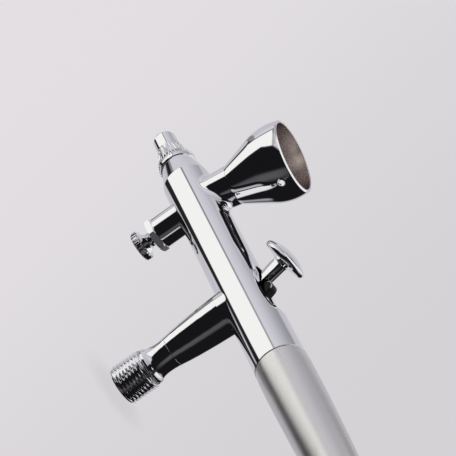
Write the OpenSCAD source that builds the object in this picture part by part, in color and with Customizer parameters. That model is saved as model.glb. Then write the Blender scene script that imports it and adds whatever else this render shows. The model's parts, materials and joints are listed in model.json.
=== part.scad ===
// Gravity-feed, dual-action airbrush gun with an air-control valve under the cup.
// Millimetres. +X runs from the nozzle to the handle, +Z towards the paint cup.
// The origin is the centre of the lower end of the air hose thread.

/* [Barrel] */
// Outside radius of the barrel
barrel_r = 6; // [5.5:0.1:6.5]
// Height of the barrel's axis above the lower end of the hose thread
axis_z = 35; // [33:0.5:38]
// Rear end of the visible barrel, where the handle begins
barrel_rear_x = 21.5; // [20:0.5:24]
// Start of the taper at the nose
taper_x = -43.5; // [-44.5:0.1:-43]
// Front face of the nose
nose_x = -50; // [-51:0.1:-49.5]
// Radius of the nose at its front face
nose_r = 4.5; // [4.4:0.05:4.9]
// Radius of the chamber that holds the trigger and the levers
chamber_r = 4.1; // [4:0.05:4.2]
// Front end of that chamber
chamber_x = -9; // [-10:0.5:-8]
// Half width of the trigger slot
slot_half = 2.25; // [2.1:0.05:2.5]
// Front end of the trigger slot
slot_front_x = -5.2; // [-5.6:0.1:-5]
// Rear end of the trigger slot
slot_rear_x = 9.4; // [9:0.1:10]
// Depth of the shallow finger scoop round the slot
scoop_depth = 1.45; // [1:0.05:1.6]
// Radius of the cutter that leaves the scoop
scoop_r = 17; // [15:1:30]
// Centre of the scoop along the barrel
scoop_x = 3.2; // [3:0.1:5]

/* [Nozzle end] */
// Front end of the needle cap
tip_x = -62.6; // [-63.5:0.1:-62]
// Joint between nozzle cap and needle cap
cap_joint_x = -57; // [-57.5:0.1:-56.5]
// Radius of the knurled flange of the nozzle cap
flange_r = 4.95; // [4.7:0.05:5.2]
// Radius of the orifice in the nozzle cap
orifice_r = 0.55; // [0.5:0.05:0.7]

/* [Paint cup] */
// Where the cup's axis crosses the barrel's axis
cup_x = -36; // [-36.5:0.1:-35.5]
// Lean of the cup towards the handle, in degrees
cup_lean = 13.6; // [10:0.1:16]
// Distance along the cup's axis to the seam above the stub
cup_seam = 10.5; // [10:0.1:11]
// Distance along the cup's axis to the middle of the mouth
cup_mouth = 26.8; // [26:0.1:28]
// Largest outside radius of the cup
cup_r = 9.65; // [9:0.05:10.2]
// Wall thickness of the cup
cup_wall = 0.7; // [0.6:0.05:0.9]
// Extra lean of the mouth's plane, in degrees
mouth_lean = 2.4; // [0:0.1:4]

/* [Trigger] */
// Forward lean of the trigger at rest, in degrees
trigger_lean = 12.5; // [11:0.5:14]
// Radius of the trigger's stem
stem_r = 1.87; // [1.7:0.01:1.9]
// Radius of the finger button
button_r = 5.7; // [5:0.1:6]
// Height of the button's rim above the trigger's pin, along the stem
button_h = 16.3; // [16:0.1:17.5]
// Half thickness of the stem between its two flats
stem_half = 1.5; // [1.4:0.05:1.6]
// Depth of the trigger's pin below the barrel's axis
trigger_pin_drop = 4; // [3.9:0.05:4.1]

/* [Air valve] */
// Radius of the valve boss where it leaves the barrel
boss_r = 5.07; // [4.9:0.01:5.2]
// Depth below the barrel's axis at which the valve casing meets the boss
boss_seam = 20.5; // [20:0.1:21]
// Radius of the boss and the casing at that seam
boss_seam_r = 3.82; // [3.7:0.01:3.9]
// Major radius of the 1/8 inch parallel pipe thread
inlet_thread_r = 4.86; // [4.86:0.01:4.87]
// Length of that thread
inlet_thread_len = 7.6; // [7:0.1:8]

/* [Air-control valve] */
// Position of the valve's axis along the barrel
mac_x = -34.7; // [-35:0.1:-34.5]
// Radius of the stub that holds the valve
mac_stub_r = 4; // [3.8:0.05:4.1]
// Depth of the stub's end below the barrel's axis
mac_stub_drop = 11.5; // [11.2:0.1:11.8]
// Radius of the knurled knob
mac_knob_r = 3.85; // [3.6:0.05:4]
// Depth of the knob's outer face below the barrel's axis
mac_knob_drop = 17.9; // [17.6:0.1:18.2]

/* [Handle] */
// Length of the handle
handle_len = 63.5; // [60:0.5:66]
// Radius of the handle's rear end
handle_end_r = 3.9; // [3.7:0.1:4.2]
// Radius of the needle preset knob
preset_r = 3.8; // [3.4:0.1:4.2]
// Gap between the handle and the preset knob at rest
preset_gap = 2.6; // [2.5:0.1:3]

/* [Needle] */
// Radius of the needle
needle_r = 0.6; // [0.55:0.01:0.62]
// Rear end of the needle
needle_rear_x = 72; // [70:0.5:73]

/* [Hidden] */
$fn = 72;
eps = 0.01;
chrome = [0.80, 0.80, 0.83];
satin = [0.72, 0.72, 0.74];
steel = [0.62, 0.63, 0.66];
brass = [0.75, 0.62, 0.34];
seal_white = [0.92, 0.92, 0.88];
rubber = [0.10, 0.10, 0.11];

// Barrel bores
fluid_r = 1;              // paint channel round the needle
front_bore_r = 3.6;       // threaded bore for the nozzle cap
front_bore_x = -46.2;     // bottom of that bore
nozzle_thread_r = 1.5;    // threaded seat for the fluid nozzle
nozzle_seat_x = -43.4;    // bottom of that seat
packing_r = 1.7;          // bore for the needle packing
packing_x = -31;          // bottom of that bore
rear_boss_r = 4.9;        // threaded boss that carries the handle
rear_boss_x = 27;         // rear end of that boss
front_air_z = -2.9;       // air channel from the control valve to the nose
rear_air_z = -4.95;       // air channel from the air valve to the control valve
air_channel_r = 0.55;
riser_x = -3.7;           // air channel beside the air valve
riser_r = 0.4;
outlet_z = -14;           // side outlet of the air valve
casing_r = 3;             // threaded spigot of the valve casing
casing_top_z = -9.1;
plunger_bore_r = 2.35;

// Lever between trigger and needle carriage
lever_pin_x = 3;
lever_pin_z = -2.6;
lever_pin_blind = 4.8;    // depth of the pin's hole beyond the middle
lever_pin_out = 5.3;      // open end of the pin, from the middle
lever_half = 1.3;
pin_r = 0.45;
pin_fit = 0.05;           // radial play of a turning piece on its pin
needle_slot_half = 0.8;

// Spring case and needle carriage
case_x0 = 20;
case_x1 = 41;
case_bore_r = 2.9;
carriage_front_x = 4.05;
carriage_tube_r = 1.75;
carriage_rear_x = 46;
collar_x = 21;

// Handle and preset screw
handle_rear_x = barrel_rear_x + handle_len;
preset_front_x = needle_rear_x + 5.6;
preset_shaft_r = 1.5;
preset_groove_x = handle_rear_x - 2.4;
knob_front_x = handle_rear_x + preset_gap;

// Cup, as heights along its own axis
paint_hole_r = 2;         // hole down into the barrel
cup_socket_r = 3.4;       // threaded socket in the stub
cup_socket_h = 7;         // bottom of the socket
spigot_h = 7.5;           // bottom of the cup's spigot
cone_h = 12.6;            // bottom of the hollow inside
shoulder_h = 23.6;        // height of the widest part
shoulder_arc = 13.2;      // radius of the shoulder's arc
cone_angle = 22.2;
cup_top_h = 27.7;         // above the mouth, before it is cut

// Seats of the two springs, and the widths of what they press on
collar_w = 1.4;
case_end_w = 1.5;
valve_spring_top = -17.6;
valve_spring_low = -24;

// Control valve, below the barrel's axis
control_bush_r = 2.6;
control_top = -8.8;
hex_top = -11.75;
hex_low = -13.35;
hex_r = 4.5;

// ---- helpers; the barrel's axis is their Z = 0 ----

module on_axis() {
    translate([0, 0, axis_z])
    children();
}

// Round solid along X from x0 to x1
module rod_x(x0, x1, r0, r1 = 0) {
    translate([x0, 0, 0])
    rotate([0, 90, 0])
    cylinder(h = x1 - x0, r1 = r0, r2 = r1 == 0 ? r0 : r1);
}

// Round solid along Z from z0 up to z1, centred on x
module rod_z(x, z0, z1, r0, r1 = 0) {
    translate([x, 0, z0])
    cylinder(h = z1 - z0, r1 = r0, r2 = r1 == 0 ? r0 : r1);
}

// Round solid across the barrel, centred on y = 0
module rod_y(x, z, half, r) {
    translate([x, half, z])
    rotate([90, 0, 0])
    cylinder(h = 2 * half, r = r);
}

// Profile of [radius, x] points turned about the barrel's axis
module turn_x(profile) {
    rotate([0, 90, 0])
    rotate_extrude()
    polygon(profile);
}

// Profile of [radius, z] points turned about a vertical axis at x
module turn_z(x, profile) {
    translate([x, 0, 0])
    rotate_extrude()
    polygon(profile);
}

module on_cup_axis() {
    translate([cup_x, 0, 0])
    rotate([0, cup_lean, 0])
    children();
}

// Points of an arc in [radius, height], from angle a0 to a1
function arc(cr, ch, r, a0, a1, n) =
    [for (i = [0:n]) [cr + r * cos(a0 + (a1 - a0) * i / n), ch + r * sin(a0 + (a1 - a0) * i / n)]];

// O-ring with its middle at height z, on the vertical axis at x
module o_ring_z(x, z, mid_r, cord_r) {
    translate([x, 0, z])
    rotate_extrude()
    translate([mid_r, 0])
    circle(r = cord_r, $fn = 24);
}

// ---- body ----

// Outside of the tapered boss below the barrel, as [radius, z]
function boss_profile() = [
    [0, -2], [boss_r, -2], [boss_r, -6], [4.95, -8], [4.78, -11], [4.63, -13],
    [4.38, -16], [4.1, -18.5], [boss_seam_r, -boss_seam], [0, -boss_seam]
];

module body_outside() {
    rod_x(taper_x, barrel_rear_x, barrel_r);
    rod_x(nose_x, taper_x, nose_r, barrel_r);
    rod_x(barrel_rear_x - eps, rear_boss_x, rear_boss_r);
    turn_z(0, boss_profile());
    rod_z(mac_x, -mac_stub_drop, -1, mac_stub_r);
    on_cup_axis()
    turn_z(0, [[0, 0], [4.75, 0], [4.85, 5.5], [5.15, cup_seam], [0, cup_seam]]);
}

// Slot with slightly rounded corners, cut down into the chamber
module trigger_slot() {
    corner = 0.8;
    translate([slot_front_x, -slot_half + corner, 0])
    cube([slot_rear_x - slot_front_x, 2 * (slot_half - corner), barrel_r + 1]);
    translate([slot_front_x + corner, -slot_half, 0])
    cube([slot_rear_x - slot_front_x - 2 * corner, 2 * slot_half, barrel_r + 1]);
    for (x = [slot_front_x + corner, slot_rear_x - corner], y = [-1, 1])
        translate([x, y * (slot_half - corner), 0])
        cylinder(h = barrel_r + 1, r = corner, $fn = 24);
}

// The lever pin's hole opens on the far side of the barrel only
module lever_pin_hole() {
    translate([lever_pin_x, barrel_r, lever_pin_z])
    rotate([90, 0, 0])
    cylinder(h = barrel_r + lever_pin_blind, r = pin_r);
}

module body() {
    color(chrome)
    on_axis()
    difference() {
        body_outside();
        rod_x(nose_x - 1, front_bore_x, front_bore_r);
        rod_x(front_bore_x - eps, nozzle_seat_x, nozzle_thread_r);
        rod_x(nozzle_seat_x - eps, packing_x + eps, fluid_r);
        rod_x(packing_x, chamber_x + eps, packing_r);
        rod_x(chamber_x, rear_boss_x + 1, chamber_r);
        on_cup_axis()
        rod_z(0, 0, cup_seam + 1, paint_hole_r);
        on_cup_axis()
        rod_z(0, cup_socket_h, cup_seam + 1, cup_socket_r);
        rod_z(0, casing_top_z, -2, plunger_bore_r);
        rod_z(0, -boss_seam - 1, casing_top_z + 0.1, casing_r);
        translate([0, 0, rear_air_z])
        rod_x(mac_x, riser_x, air_channel_r);
        translate([0, 0, front_air_z])
        rod_x(front_bore_x - 1, mac_x, air_channel_r);
        rod_z(riser_x, outlet_z - riser_r, rear_air_z, riser_r);
        translate([0, 0, outlet_z])
        rod_x(riser_x, -casing_r + 0.5, riser_r);
        rod_z(mac_x, -4, -2.3, 1);
        rod_z(mac_x, -6, -4 + eps, 1.3);
        rod_z(mac_x, -mac_stub_drop - 1, -5.9, control_bush_r);
        trigger_slot();
        rod_y(scoop_x, barrel_r - scoop_depth + scoop_r, barrel_r, scoop_r);
        lever_pin_hole();
    }
}

// ---- nozzle end ----

module nozzle_cap() {
    color(chrome)
    on_axis()
    turn_x([
        [2.6, -47], [front_bore_r, -47], [front_bore_r, nose_x],
        [4.5, nose_x - 0.1], [4.5, nose_x - 0.4], [flange_r, nose_x - 1],
        [flange_r, nose_x - 2.2], [4.6, nose_x - 2.5], [4.1, nose_x - 2.6],
        [3.4, cap_joint_x], [1.9, cap_joint_x], [1.9, -60.2], [1.6, -60.6],
        [orifice_r, -60.6], [orifice_r, -60], [2.6, -54]
    ]);
}

module needle_cap() {
    color(chrome)
    on_axis()
    turn_x([
        [1.9, cap_joint_x], [3.2, cap_joint_x], [3.15, -59.6], [3, -60.2],
        [2.85, tip_x + 0.3], [2.6, tip_x], [2.3, tip_x], [2.1, -61.5],
        [2.1, -59.2], [1.9, -59.2]
    ]);
}

module fluid_nozzle() {
    color(brass)
    on_axis()
    difference() {
        union() {
            turn_x([
                [0, -43.5], [nozzle_thread_r, -43.5], [nozzle_thread_r, -46.7],
                [1.5, -48], [0.42, -60.9], [0, -60.9]
            ]);
            translate([-48, 0, 0])
            rotate([0, 90, 0])
            cylinder(h = 1.3, r = 2.2, $fn = 6);
        }
        rod_x(-47, -43, 0.85);
        rod_x(-61, -47 + eps, 0.22, 0.85);
    }
}

module nozzle_seal() {
    color(seal_white)
    on_axis()
    turn_x([[1.55, front_bore_x], [2.2, front_bore_x], [2.2, -46.7], [1.55, -46.7]]);
}

// ---- paint cup ----

// Outside of the cup from its seam to above its mouth, moved inward by inset
function cup_line(inset) = concat(
    [[5.15 - inset, cup_seam]],
    arc(cup_r - shoulder_arc, shoulder_h, shoulder_arc - inset, -cone_angle, 18, 12)
);

function reversed(list) = [for (i = [len(list) - 1:-1:0]) list[i]];

module paint_cup() {
    color(chrome)
    on_axis()
    on_cup_axis()
    difference() {
        turn_z(0, concat([[0, spigot_h], [cup_socket_r, spigot_h], [cup_socket_r, cup_seam]],
            cup_line(0), [[0, cup_top_h]]));
        turn_z(0, concat([[0, cone_h], [2.6, cone_h]],
            [for (p = cup_line(cup_wall)) if (p[1] > cone_h + 3.4) p], [[0, cup_top_h]]));
        rod_z(0, spigot_h - 0.5, cone_h + 0.4, paint_hole_r);
        translate([0, 0, cup_mouth])
        rotate([0, mouth_lean, 0])
        translate([-15, -15, 0])
        cube([30, 30, 10]);
    }
}

module cup_gasket() {
    color(seal_white)
    on_axis()
    on_cup_axis()
    turn_z(0, [[2.1, cup_socket_h], [3.3, cup_socket_h], [3.3, spigot_h], [2.1, spigot_h]]);
}

// ---- needle ----

module needle() {
    color(steel)
    on_axis()
    turn_x([
        [0, -61.8], [0.03, -61.8], [needle_r, -51],
        [needle_r, needle_rear_x - 0.4], [0.3, needle_rear_x], [0, needle_rear_x]
    ]);
}

module needle_packing() {
    color(seal_white)
    on_axis()
    turn_x([
        [needle_r + pin_fit, packing_x], [packing_r, packing_x],
        [packing_r, packing_x + 1.6], [needle_r + pin_fit, packing_x + 1.6]
    ]);
}

module packing_screw() {
    color(brass)
    on_axis()
    difference() {
        rod_x(packing_x + 1.6, packing_x + 5.2, packing_r);
        rod_x(packing_x, packing_x + 6, needle_r + 0.08);
        translate([packing_x + 4.6, -2, -0.25])
        cube([1, 4, 0.5]);
    }
}

// ---- trigger ----

module trigger() {
    rim = 0.9;
    dome = 2.1;
    tang_half = 1.15;
    color(chrome)
    on_axis()
    translate([0, 0, -trigger_pin_drop])
    rotate([0, -trigger_lean, 0])
    difference() {
        union() {
            intersection() {
                rod_z(0, -2, button_h - 0.6, stem_r);
                union() {
                    translate([-3, -stem_half, 2.2])
                    cube([6, 2 * stem_half, button_h]);
                    translate([-3, -tang_half, 0])
                    cube([6, 2 * tang_half, 3]);
                    rod_y(0, 0, tang_half, 1.3);
                }
            }
            turn_z(0, concat(
                [[0, button_h - 1.3], [stem_r, button_h - 1.3], [3.6, button_h - 1.05]],
                arc(button_r - rim, button_h, rim, -75, 60, 8),
                [[4.2, button_h + 1.32], [2.8, button_h + 1.78], [1.4, button_h + dome - 0.08],
                [0, button_h + dome]]
            ));
        }
        translate([-3, -needle_slot_half, 2.75])
        cube([6, 2 * needle_slot_half, 4.6]);
        // Relief that clears the lever when the trigger is down and back
        translate([0.9, -3, 1])
        cube([3, 6, 4.8]);
        rod_y(0, 0, 3, pin_r + pin_fit);
    }
}

module trigger_pin() {
    color(steel)
    on_axis()
    rod_y(0, -trigger_pin_drop, 1.95, pin_r);
}

// ---- auxiliary lever ----

// Side view of the lever: eye, cam and rounded head, joined by straight flanks
module lever_side() {
    hull() {
        translate([lever_pin_x, lever_pin_z])
        circle(r = 0.85, $fn = 32);
        translate([lever_pin_x - 0.1, 1.9])
        circle(r = 1.05, $fn = 32);
    }
    hull() {
        translate([lever_pin_x - 0.1, 1.9])
        circle(r = 1.05, $fn = 32);
        translate([1.2, 5.65])
        circle(r = 1.3, $fn = 48);
    }
}

module auxiliary_lever() {
    color(steel)
    on_axis()
    difference() {
        translate([0, lever_half, 0])
        rotate([90, 0, 0])
        linear_extrude(2 * lever_half)
        lever_side();
        translate([-1, -needle_slot_half, -4])
        cube([6, 2 * needle_slot_half, 6.6]);
        rod_y(lever_pin_x, lever_pin_z, 3, pin_r + pin_fit);
    }
}

module lever_pin() {
    color(steel)
    on_axis()
    translate([lever_pin_x, lever_pin_out, lever_pin_z])
    rotate([90, 0, 0])
    cylinder(h = lever_pin_out + lever_pin_blind - 0.05, r = pin_r);
}

// ---- needle carriage, its spring, case and chuck ----

module needle_carriage() {
    color(brass)
    on_axis()
    difference() {
        union() {
            rod_x(carriage_front_x, carriage_front_x + 1.5, 2.6);
            rod_x(carriage_front_x, carriage_rear_x, carriage_tube_r);
            rod_x(collar_x, collar_x + collar_w, 2.6);
        }
        rod_x(carriage_front_x - 1, carriage_rear_x + 1, needle_r);
    }
}

module needle_spring() {
    color(steel)
    on_axis()
    turn_x([
        [1.95, collar_x + collar_w], [2.65, collar_x + collar_w],
        [2.65, case_x1 - case_end_w], [1.95, case_x1 - case_end_w]
    ]);
}

module spring_case() {
    color(chrome)
    on_axis()
    difference() {
        union() {
            rod_x(case_x0, rear_boss_x, chamber_r);
            rod_x(rear_boss_x, rear_boss_x + 1.2, 4.4);
            rod_x(rear_boss_x, case_x1, 3.4);
        }
        rod_x(case_x0 - 1, case_x1 - case_end_w, case_bore_r);
        rod_x(case_x0, case_x1 + 1, carriage_tube_r + 0.1);
    }
}

module chuck_nut() {
    color(chrome)
    on_axis()
    difference() {
        turn_x([
            [0, 44], [2.7, 44], [2.9, 44.3], [2.9, 49], [2.2, 49.6], [1.6, 52], [0, 52]
        ]);
        rod_x(43, carriage_rear_x, carriage_tube_r);
        rod_x(43, 53, needle_r);
    }
}

// ---- handle and preset ----

module handle() {
    x0 = barrel_rear_x;
    bulge_r = barrel_r + 0.1;
    color(satin)
    on_axis()
    difference() {
        turn_x([
            [0, x0], [barrel_r - 0.15, x0], [barrel_r, x0 + 0.2], [bulge_r, x0 + 4],
            [barrel_r + 0.02, x0 + 12], [5.75, x0 + 22], [5.35, x0 + 32], [4.9, x0 + 42],
            [4.45, x0 + 52], [4.1, x0 + 60], [handle_end_r, handle_rear_x - 0.5],
            [handle_end_r - 0.5, handle_rear_x], [0, handle_rear_x]
        ]);
        rod_x(x0 - 1, rear_boss_x + 0.1, rear_boss_r);
        rod_x(rear_boss_x, 46, 4.6);
        rod_x(46 - eps, 78, 3.4);
        rod_x(77, handle_rear_x + 1, preset_shaft_r + 0.06);
        rod_x(handle_rear_x - 6.2, handle_rear_x + 1, 2.5);
    }
}

module preset_knob() {
    color(chrome)
    on_axis()
    difference() {
        union() {
            rod_x(preset_front_x, knob_front_x + 1, preset_shaft_r);
            turn_x([
                [0, knob_front_x], [2.6, knob_front_x], [preset_r - 0.3, knob_front_x + 0.4],
                [preset_r, knob_front_x + 0.8], [preset_r, knob_front_x + 4.4],
                [preset_r - 0.5, knob_front_x + 5], [2, knob_front_x + 5.5], [0, knob_front_x + 5.6]
            ]);
        }
        difference() {
            rod_x(preset_groove_x - 0.6, preset_groove_x + 0.6, 2);
            rod_x(preset_groove_x - 0.7, preset_groove_x + 0.7, 1.1);
        }
    }
}

module preset_o_ring() {
    color(rubber)
    on_axis()
    translate([preset_groove_x, 0, 0])
    rotate([0, 90, 0])
    o_ring_z(0, 0, 1.7, 0.55);
}

// ---- air valve ----

module air_valve_casing() {
    thread_top = inlet_thread_len - axis_z;
    color(chrome)
    on_axis()
    difference() {
        turn_z(0, [
            [0, casing_top_z], [casing_r, casing_top_z], [casing_r, -boss_seam],
            [boss_seam_r, -boss_seam], [3.66, -22.2], [3.6, -23.4], [3.66, -24.6],
            [3.85, -25.5], [4.2, -26.1], [4.4, -26.5], [4.4, -27], [4.1, -27.1],
            [4.1, thread_top], [inlet_thread_r, thread_top],
            [inlet_thread_r, -axis_z], [0, -axis_z]
        ]);
        rod_z(0, -12.2, casing_top_z + 1, 2.2);
        rod_z(0, -15.5, -12.2 + eps, 1.7);
        rod_z(0, -16.4, -15.4, 1.05);
        rod_z(0, -axis_z - 1, -16.3, 2.2);
        translate([0, 0, outlet_z])
        rod_x(-casing_r - 1, 0, riser_r);
    }
}

module valve_plunger() {
    head_top = -3;
    head_low = -6.4;
    color(brass)
    on_axis()
    difference() {
        union() {
            rod_z(0, head_low, head_top, 2.05);
            rod_z(0, -7.2, head_low + eps, 1.2);
        }
        translate([-3, -1.2, -5.6])
        cube([6, 2.4, 4]);
        rod_y(0, -trigger_pin_drop, 3, pin_r);
    }
}

module valve_pin() {
    color(steel)
    on_axis()
    turn_z(0, [
        [0, -7.2], [0.75, -7.2], [0.75, -13], [0.55, -13.2], [0.55, -16.2],
        [0.9, -16.3], [0.9, -16.9], [1.6, -16.9], [1.6, valve_spring_top],
        [0.7, valve_spring_top], [0.7, -20], [0, -20]
    ]);
}

module valve_o_ring() {
    color(rubber)
    on_axis()
    turn_z(0, [[0.9, -16.35], [1.5, -16.35], [1.6, -16.5], [1.6, -16.9], [0.9, -16.9]]);
}

module valve_guide() {
    color(brass)
    on_axis()
    difference() {
        rod_z(0, -11.1, casing_top_z, 2.2);
        rod_z(0, -12, casing_top_z + 1, 0.83);
        translate([-0.25, -3, casing_top_z - 0.5])
        cube([0.5, 6, 1]);
    }
}

module valve_packing() {
    color(seal_white)
    on_axis()
    turn_z(0, [[0.8, -11.1], [2.15, -11.1], [2.15, -12.2], [0.8, -12.2]]);
}

module valve_spring() {
    color(steel)
    on_axis()
    turn_z(0, [
        [1, valve_spring_top], [1.7, valve_spring_top],
        [1.7, valve_spring_low], [1, valve_spring_low]
    ]);
}

module valve_retainer() {
    color(brass)
    on_axis()
    difference() {
        rod_z(0, -26.5, valve_spring_low, 2.2);
        rod_z(0, -27, -23, 0.8);
        translate([-0.3, -3, -27])
        cube([0.6, 6, 1.2]);
    }
}

// ---- air-control valve ----

module control_bushing() {
    stem_fit = 1.3;
    color(chrome)
    on_axis()
    difference() {
        union() {
            rod_z(mac_x, -mac_stub_drop, control_top, control_bush_r);
            rod_z(mac_x, hex_top, -mac_stub_drop, 3.65);
            rod_z(mac_x, hex_low, hex_top + eps, hex_r, hex_r, $fn = 6);
        }
        rod_z(mac_x, -14, -8, stem_fit);
    }
}

module control_screw() {
    color(steel)
    on_axis()
    turn_z(mac_x, [
        [0, -3.6], [0.3, -3.6], [0.95, -4.7], [0.95, -6.55], [1, -6.55], [1, -7.85],
        [1.25, -7.9], [1.25, -13.6], [1.15, -13.7], [1.15, -14], [1.75, -14.1],
        [1.75, -14.7], [1.15, -14.8], [1.15, -16.4], [0, -16.4]
    ]);
}

module control_knob() {
    rim_in = mac_knob_drop - 1.75;
    color(chrome)
    on_axis()
    difference() {
        turn_z(mac_x, [
            [0, -14.9], [1.9, -14.9], [2, -15.1], [2.8, -rim_in], [mac_knob_r - 0.1, -rim_in],
            [mac_knob_r, -rim_in - 0.2], [mac_knob_r, -mac_knob_drop + 0.3],
            [mac_knob_r - 0.3, -mac_knob_drop], [0, -mac_knob_drop - 0.15]
        ]);
        rod_z(mac_x, -16.4, -14.8, 1.15);
    }
}

module control_o_ring() {
    color(rubber)
    on_axis()
    o_ring_z(mac_x, -7.2, 1.72, 0.6);
}

body();
nozzle_cap();
needle_cap();
fluid_nozzle();
nozzle_seal();
paint_cup();
cup_gasket();
needle();
needle_packing();
packing_screw();
trigger();
trigger_pin();
auxiliary_lever();
lever_pin();
needle_carriage();
needle_spring();
spring_case();
chuck_nut();
handle();
preset_knob();
preset_o_ring();
air_valve_casing();
valve_plunger();
valve_pin();
valve_o_ring();
valve_guide();
valve_packing();
valve_spring();
valve_retainer();
control_bushing();
control_screw();
control_knob();
control_o_ring();
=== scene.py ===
"""Looks of a gravity-feed airbrush gun: materials, fine pieces, studio and camera."""

import json
from math import atan2, ceil, cos, degrees, hypot, pi, radians, sin, sqrt, tan

import bmesh
import bpy
from mathutils import Matrix, Vector


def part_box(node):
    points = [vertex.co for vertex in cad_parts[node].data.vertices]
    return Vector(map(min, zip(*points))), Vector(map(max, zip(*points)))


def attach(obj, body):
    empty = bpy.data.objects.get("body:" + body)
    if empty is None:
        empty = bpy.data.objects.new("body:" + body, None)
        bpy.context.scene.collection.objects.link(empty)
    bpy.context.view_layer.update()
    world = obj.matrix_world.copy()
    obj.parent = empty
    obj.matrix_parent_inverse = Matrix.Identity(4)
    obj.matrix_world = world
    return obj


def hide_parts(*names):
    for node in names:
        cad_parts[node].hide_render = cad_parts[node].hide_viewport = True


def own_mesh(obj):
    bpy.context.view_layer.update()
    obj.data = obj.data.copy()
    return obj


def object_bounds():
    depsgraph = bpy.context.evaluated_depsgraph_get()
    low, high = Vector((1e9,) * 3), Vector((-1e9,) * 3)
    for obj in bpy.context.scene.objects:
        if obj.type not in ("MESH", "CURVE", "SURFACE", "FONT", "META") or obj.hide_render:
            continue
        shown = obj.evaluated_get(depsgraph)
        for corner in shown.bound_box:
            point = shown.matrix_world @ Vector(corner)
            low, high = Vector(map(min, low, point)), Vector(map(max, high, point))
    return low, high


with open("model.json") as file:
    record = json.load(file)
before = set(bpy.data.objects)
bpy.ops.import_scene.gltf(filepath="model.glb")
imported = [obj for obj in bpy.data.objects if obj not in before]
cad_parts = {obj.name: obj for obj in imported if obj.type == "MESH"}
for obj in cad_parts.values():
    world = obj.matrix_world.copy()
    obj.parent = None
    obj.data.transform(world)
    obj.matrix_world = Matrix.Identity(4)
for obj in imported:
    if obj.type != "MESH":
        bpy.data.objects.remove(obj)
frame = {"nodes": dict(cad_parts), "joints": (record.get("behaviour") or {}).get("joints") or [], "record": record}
cad_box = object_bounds()

MM = 0.001

# ---- camera axes, also used to place the studio round the gun ----

AZIMUTH = radians(46.183)
ELEVATION = radians(6.799)
ROLL = radians(54.881)
DISTANCE = 0.33784
LENS, SENSOR = 112.97, 36
AIM = Vector((-0.02315, 0.00064, 0.03872))

level = Vector((cos(AZIMUTH), sin(AZIMUTH), 0))
VIEW = Vector((sin(AZIMUTH) * cos(ELEVATION), -cos(AZIMUTH) * cos(ELEVATION), sin(ELEVATION)))
upright = VIEW.cross(level)
RIGHT = level * cos(ROLL) + upright * sin(ROLL)
UP = upright * cos(ROLL) - level * sin(ROLL)


def make_camera():
    data = bpy.data.cameras.new("camera")
    data.lens = LENS
    data.sensor_width = SENSOR
    data.clip_start = 0.01
    data.clip_end = 20
    camera = bpy.data.objects.new("camera", data)
    turn = Matrix((RIGHT, UP, VIEW)).transposed().to_4x4()
    camera.matrix_world = Matrix.Translation(AIM + VIEW * DISTANCE) @ turn
    bpy.context.scene.collection.objects.link(camera)
    bpy.context.scene.camera = camera


# ---- node helpers ----

def linear(level_255):
    """One display value, 0 to 255, as the linear value that shaders work in."""
    c = level_255 / 255
    return c / 12.92 if c <= 0.04045 else ((c + 0.055) / 1.055) ** 2.4


def tone(r, g=None, b=None):
    """A display colour as linear RGBA. One value gives a grey with a cool tint."""
    if g is None:
        r, g, b = r, r, r + 2
    return (linear(r), linear(g), linear(b), 1)


class Num:
    """A number in a node tree, so that node maths reads as a formula."""

    def __init__(self, tree, socket):
        self.tree = tree
        self.socket = socket

    def op(self, kind, *terms):
        node = self.tree.nodes.new("ShaderNodeMath")
        node.operation = kind
        for socket, term in zip(node.inputs, terms):
            feed(self.tree, socket, term)
        return Num(self.tree, node.outputs[0])

    def __add__(self, other):
        return self.op("ADD", self, other)

    __radd__ = __add__

    def __sub__(self, other):
        return self.op("SUBTRACT", self, other)

    def __rsub__(self, other):
        return self.op("SUBTRACT", other, self)

    def __mul__(self, other):
        return self.op("MULTIPLY", self, other)

    __rmul__ = __mul__

    def __truediv__(self, other):
        return self.op("DIVIDE", self, other)

    def __pow__(self, other):
        return self.op("POWER", self, other)

    def least(self, other):
        return self.op("MINIMUM", self, other)

    def most(self, other):
        return self.op("MAXIMUM", self, other)

    def step(self, low, high):
        """0 below low, 1 above high, smooth between them."""
        node = self.tree.nodes.new("ShaderNodeMapRange")
        node.interpolation_type = "SMOOTHSTEP"
        feed(self.tree, node.inputs["Value"], self)
        node.inputs["From Min"].default_value = low
        node.inputs["From Max"].default_value = high
        return Num(self.tree, node.outputs["Result"])

    def below(self, low, high):
        return 1 - self.step(low, high)

    def hill(self):
        """1 about the middle, falling to 0 beyond 1 on either side."""
        square = self * self
        return self.op("EXPONENT", 0 - square * square)


def feed(tree, socket, value):
    if isinstance(value, Num):
        tree.links.new(value.socket, socket)
    elif isinstance(value, bpy.types.NodeSocket):
        tree.links.new(value, socket)
    else:
        socket.default_value = value


def add_node(tree, kind, **inputs):
    """A new node with some of its inputs filled; underscores stand for spaces."""
    node = tree.nodes.new(kind)
    for name, value in inputs.items():
        feed(tree, node.inputs[name.replace("_", " ")], value)
    return node


def vector_op(tree, kind, a, b=None):
    node = tree.nodes.new("ShaderNodeVectorMath")
    node.operation = kind
    feed(tree, node.inputs[0], a)
    if b is not None:
        feed(tree, node.inputs[1], b)
    return node.outputs["Value" if kind == "DOT_PRODUCT" else "Vector"]


def mix_colour(tree, factor, a, b):
    node = tree.nodes.new("ShaderNodeMix")
    node.data_type = "RGBA"
    feed(tree, node.inputs["Factor"], factor)
    feed(tree, node.inputs["A"], a)
    feed(tree, node.inputs["B"], b)
    return node.outputs["Result"]


# ---- studio: what the chrome sees, and the pale backdrop that the camera sees ----

CHROME_LOSS = 1.1  # makes up for the light that chrome swallows


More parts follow.
